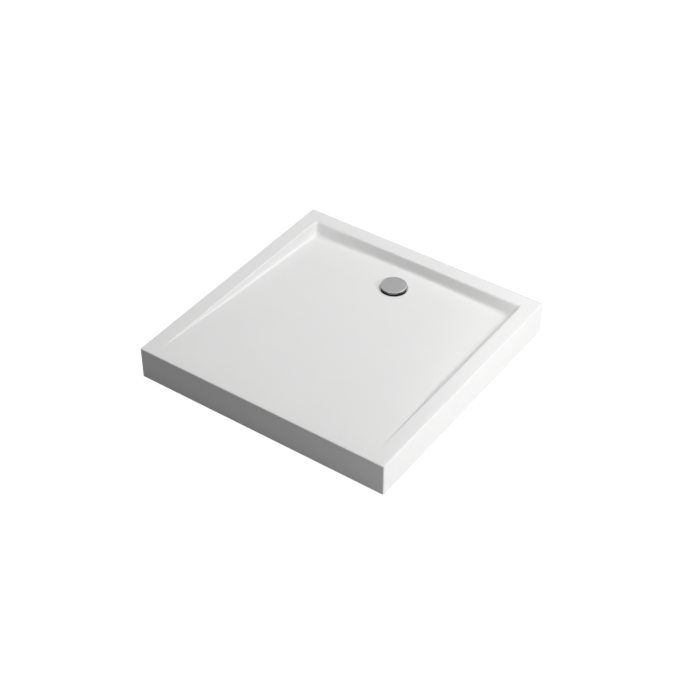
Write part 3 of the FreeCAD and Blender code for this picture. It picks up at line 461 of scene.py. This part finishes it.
# Rings of a radius and a height. The thread has eight in each pitch, and the last of them lies
# below the rod's end.
around = np.linspace(0, 2 * math.pi, 48, endpoint=False)
hexagon = hexagon_radius(around)
thread_z = np.arange(THREAD_END + RUN_OUT, ROD_END - 0.00001, PITCH / 8)[:, None]
tip = ROD - np.maximum(thread_z - ROD_END + ROD_CHAMFER, 0)
thread_r = np.minimum(thread_radius(around, thread_z), tip)
rod_rings = [
    (0.0, PIVOT_END), (PIVOT - PIVOT_CHAMFER, PIVOT_END), (PIVOT, PIVOT_END + PIVOT_CHAMFER),
    (PIVOT, FOOT_TOP), (FLATS, FOOT_TOP), (hexagon, FOOT_TOP + HEXAGON_CHAMFER),
    (hexagon, THREAD_END - HEXAGON_CHAMFER), (FLATS, THREAD_END),
    (ROD - THREAD_DEPTH, THREAD_END), *zip(thread_r, thread_z[:, 0]),
    (ROD - ROD_CHAMFER, ROD_END), (0.0, ROD_END),
]
rod_r = np.array([ring + 0 * around for ring, height in rod_rings])
rod_z = np.array([height + 0 * around for ring, height in rod_rings])
for number, (leg_at_x, leg_at_y) in enumerate(LEGS, 1):
    stud = surface(f"threaded_rod_{number}", leg_at_x + rod_r * np.cos(around),
                   leg_at_y + rod_r * np.sin(around), rod_z, grid_faces(*rod_r.shape))
    stud.modifiers.new("weld", "WELD").merge_threshold = 1e-6
    settle(stud, zinc)
    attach(stud, f"rod_{number}")
    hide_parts(f"leg_rod_{number}")


# Feet. Moulded in dark grey nylon, with a rubber sole glued under each. The same rubber makes the
# seals of the waste.

nylon = Finish("dark_moulding")
mottle = nylon.noise(400, 3)
nylon.feed({
    "Base Color": nylon.mixed(mottle, (0.030, 0.031, 0.033, 1), (0.055, 0.056, 0.058, 1)),
    "Roughness": 0.42 + mottle * 0.2,
})
nylon.relief(mottle, 0.00008)
nylon.onto(*(f"foot_pad_{i}" for i in range(1, 6)))

rubber = Finish("black_rubber")
bloom = rubber.noise(150, 4)
rubber.feed({
    "Base Color": rubber.mixed(bloom, (0.014, 0.014, 0.014, 1), (0.035, 0.034, 0.033, 1)),
    "Roughness": 0.7 + bloom * 0.2,
})
rubber.relief(bloom, 0.0001)
rubber.onto("flange_gasket", "lower_seal", "outlet_seal", "dip_tube_ring",
            *(f"foot_sole_{i}" for i in range(1, 6)))


# Trap and outlet. Moulded in grey polypropylene: the bowl with its weir and spout, the nut, and
# the pipe end. The lift-out tube and the strainer are white.

grey = Finish("grey_moulding")
flow = grey.noise(90, 4)
grey.feed({
    "Base Color": grey.mixed(flow, (0.27, 0.28, 0.29, 1), (0.34, 0.35, 0.36, 1)),
    "Roughness": 0.34 + flow * 0.16,
})
grey.relief(flow, 0.00012)
grey.onto("trap_body", "outlet_spigot")

# The nut's grips are 16 ribs, raised from a smaller round and faded out towards both faces. Its
# rings have a radius, a place along the pipe, and a share of the ribs' height.
NUT, NUT_BORE, NUT_MOUTH = 0.029, 0.02505, 0.0193  # radii
NUT_FRONT, NUT_WALL, NUT_BACK = 0.362, 0.378, 0.382  # places along the pipe
GRIPS, RIB = 16, 0.0012
ROOT = NUT - RIB
NUT_EDGE, BORE_EDGE = 0.0006, 0.0008  # chamfers
about = np.linspace(0, 2 * math.pi, 16 * GRIPS, endpoint=False)
rib_height = RIB * np.clip(0.5 + 1.6 * np.cos(about * GRIPS), 0, 1)
nut_rings = [
    (NUT_BORE, NUT_WALL, 0), (NUT_BORE, NUT_FRONT + BORE_EDGE, 0),
    (NUT_BORE + BORE_EDGE, NUT_FRONT, 0), (ROOT - NUT_EDGE, NUT_FRONT, 0),
    (ROOT, NUT_FRONT + NUT_EDGE, 0), (ROOT, NUT_FRONT + 0.0016, 0.2),
    (ROOT, NUT_FRONT + 0.0028, 1), (ROOT, NUT_BACK - 0.0044, 1), (ROOT, NUT_BACK - 0.0030, 0.2),
    (ROOT - 0.0004, NUT_BACK - 0.0012, 0), (ROOT - 0.0016, NUT_BACK, 0),
    (NUT_MOUTH + NUT_EDGE, NUT_BACK, 0), (NUT_MOUTH, NUT_BACK - NUT_EDGE, 0),
    (NUT_MOUTH, NUT_WALL, 0),
]
round_r, along_pipe, share = np.array(nut_rings + nut_rings[:1]).T[:, :, None]
nut_r = round_r + share * rib_height
nut = surface("ribbed_outlet_nut", nut_r * np.cos(about), along_pipe + 0 * about,
              PIPE_AXIS - nut_r * np.sin(about), grid_faces(*nut_r.shape))
nut.modifiers.new("weld", "WELD").merge_threshold = 1e-6
settle(nut, grey)
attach(nut, "root")
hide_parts("outlet_nut")

white = Finish("white_moulding")
cloud = white.noise(120, 4)
white.feed({
    "Base Color": white.mixed(cloud, (0.74, 0.75, 0.75, 1), (0.82, 0.82, 0.81, 1)),
    "Roughness": 0.3 + cloud * 0.15,
})
white.relief(cloud, 0.00008)
white.onto("dip_tube", "hair_strainer")


# Chrome. The clamp ring, and the cover that stands on three legs over the waste. The cover is
# turned from brass: its top is crowned by a third of a millimetre and polished, its edge is
# rounded, and its side is rougher, with a dark base colour that is painted shade.

CAP_TOP = 0.09645
CAP_RADIUS = 0.043
CAP_SKIRT = 0.0092  # height of its side
CAP_WALL = 0.002
CAP_EDGE = 0.0012  # radius
CAP_CROWN = 0.0003
CAP_DRAFT = 0.0016  # how much narrower the side is at its foot
PAINTED_SHADE_FROM = (0.0845, 0.0865)  # heights between which the side's painted shade sets in
PAINTED_SHADE_TO = (CAP_TOP - 0.0013, CAP_TOP - 0.0005)  # and between which it ends
LEG_FOOT = 0.08355
LEG_IN, LEG_OUT, LEG_HALF = 0.028, 0.031, 0.006  # radii and half the width


def turned(profile):
    """X, Y and Z of a profile of radius and height turned about the waste's axis."""
    angle = np.linspace(0, 2 * math.pi, 128, endpoint=False)
    r, h = np.array(profile).T[:, :, None]
    return r * np.cos(angle), WASTE_Y + r * np.sin(angle), h + 0 * angle


chrome = Finish("chrome_plate")
film = chrome.noise(60, 5)
level = chrome.node("ShaderNodeSeparateXYZ", None, {0: chrome.point}, 2)
# Painted shade: between these heights the base colour is darkened to 0.15 grey, standing in for
# the shade that the metal side reflects.
painted_shade_side = chrome.between(level, *PAINTED_SHADE_FROM) - chrome.between(level, *PAINTED_SHADE_TO)
plate = chrome.mixed(film, (0.37, 0.37, 0.37, 1), (0.40, 0.40, 0.40, 1))
chrome.feed({
    "Base Color": chrome.mixed(painted_shade_side, plate, (0.15, 0.15, 0.15, 1)),
    "Roughness": 0.1 + film * 0.08 + painted_shade_side * 0.12,
    "Metallic": 1.0,
})
chrome.relief(film, 0.00002)
chrome.onto("flange_ring")

# The cup's profile: its crowned top from the middle out, its round edge, its side and its inside.
crown = [(r, CAP_TOP - CAP_CROWN * (r / CAP_RADIUS) ** 2)
         for r in np.linspace(0, CAP_RADIUS - CAP_EDGE, 8)]
bend = np.radians(np.linspace(90, 0, 9))[1:]
edge_of_cap = [(CAP_RADIUS - CAP_EDGE + CAP_EDGE * math.cos(a),
                CAP_TOP - CAP_CROWN - CAP_EDGE + CAP_EDGE * math.sin(a)) for a in bend]
cup_foot, cup_roof = CAP_TOP - CAP_SKIRT, CAP_TOP - CAP_WALL
under = [(CAP_RADIUS - CAP_DRAFT, cup_foot), (CAP_RADIUS - CAP_WALL, cup_foot),
         (CAP_RADIUS - CAP_WALL, cup_roof), (0, cup_roof)]
cup_x, cup_y, cup_z = turned((crown + edge_of_cap + under)[::-1])

# Legs: a block at each of three angles. Its eight corners are all choices of inner or outer
# radius, side and height, and its six outward faces are down, up, in, out, right and left.
ends = np.array([[out, side, top] for top in (0, 1) for side in (0, 1) for out in (0, 1)])
angle = np.radians([0, 120, 240])[:, None]
r = LEG_IN + (LEG_OUT - LEG_IN) * ends[:, 0]
t = LEG_HALF * (2 * ends[:, 1] - 1)
leg_x = r * np.cos(angle) - t * np.sin(angle)
leg_y = WASTE_Y + r * np.sin(angle) + t * np.cos(angle)
leg_z = LEG_FOOT + (cup_roof - LEG_FOOT) * ends[:, 2] + 0 * angle
block = np.array([
    [0, 2, 3, 1], [4, 5, 7, 6], [0, 4, 6, 2], [1, 3, 7, 5], [0, 1, 5, 4], [2, 6, 7, 3],
])
leg_faces = cup_x.size + (8 * np.arange(3)[:, None, None] + block).reshape(-1, 4)

cover = surface(
    "waste_cover", *(np.concatenate([cup.ravel(), legs.ravel()])
                     for cup, legs in ((cup_x, leg_x), (cup_y, leg_y), (cup_z, leg_z))),
    np.concatenate([grid_faces(*cup_x.shape), leg_faces]),
)
cover.modifiers.new("weld", "WELD").merge_threshold = 1e-6
soften = cover.modifiers.new("soften", "BEVEL")
soften.limit_method = "ANGLE"
soften.angle_limit = math.radians(60)
soften.width = 0.0004
soften.segments = 2
settle(cover, chrome)
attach(cover, "cover")
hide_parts("waste_cap")


# Photographer's floor: a plain pale floor that the camera and the metal see white, with the
# object's soft shadow.

FLOOR = 12  # middle to edge
floor = surface("studio_floor", FLOOR * np.array([-1, 1, 1, -1]), FLOOR * np.array([-1, -1, 1, 1]),
                np.zeros(4), np.array([[0, 1, 2, 3]]))
paper = Finish("floor_paper")
grit = paper.noise(30, 3)
paper.feed({
    "Base Color": paper.mixed(grit, (0.20, 0.20, 0.20, 1), (0.22, 0.22, 0.22, 1)),
    "Roughness": 0.9,
    "Emission Color": paper.mixed(paper.seen(), (0, 0, 0, 1), (0.93, 0.93, 0.93, 1)),
    "Emission Strength": 1.0,
})
floor.data.materials.append(paper.material)


# Studio light: a wide soft lamp to the right, one above and one behind, and two low strips near
# the floor that lift the skirt's right side and its front corner, as white cards would.

def lamp(name, place, aim, width, height, power):
    """A soft lamp at a place, aimed at another, with its sides in metres and its watts."""
    light = bpy.data.lights.new(name, "AREA")
    light.shape = "RECTANGLE"
    light.size, light.size_y, light.energy = width, height, power
    holder = bpy.data.objects.new(name, light)
    bpy.context.scene.collection.objects.link(holder)
    holder.location = place
    holder.rotation_euler = (Vector(place) - Vector(aim)).to_track_quat("Z", "Y").to_euler()


TRAY = (0, 0, 0.1)
lamp("key_lamp", (4.9, 0.85, 3.2), TRAY, 2.5, 2.5, 110)
lamp("top_lamp", (0, 0, 3.2), TRAY, 2.4, 2.4, 50)
lamp("back_lamp", (0, 1.8, 2.2), TRAY, 1.5, 1.5, 24)
lamp("low_lamp", (2.0, 0.3, 0.045), (0, 0.3, 0.045), 1.3, 0.08, 14)
lamp("low_front_lamp", (1.6, -1.3, 0.045), (0.3, -0.3, 0.045), 0.6, 0.08, 4.2)

world = bpy.data.worlds.new("studio")
world.use_nodes = True
surround = Network(world.node_tree)
backdrop = surround.tree.nodes["Background"]
backdrop.inputs["Color"].default_value = (1, 1, 1, 1)
surround.connect(backdrop.inputs["Strength"], surround.seen())
bpy.context.scene.world = world


# Camera, at the photograph's angle: 35 degrees to the right of the front and 40.4 above.

camera = bpy.data.objects.new("camera", bpy.data.cameras.new("camera"))
camera.data.lens = 81.94
camera.data.sensor_width = 36
camera.location = (2.2042, -3.1213, 3.2623)
camera.rotation_euler = (math.radians(49.6), 0, math.radians(35))
bpy.context.scene.collection.objects.link(camera)
bpy.context.scene.camera = camera
bpy.context.scene.view_settings.view_transform = "Standard"
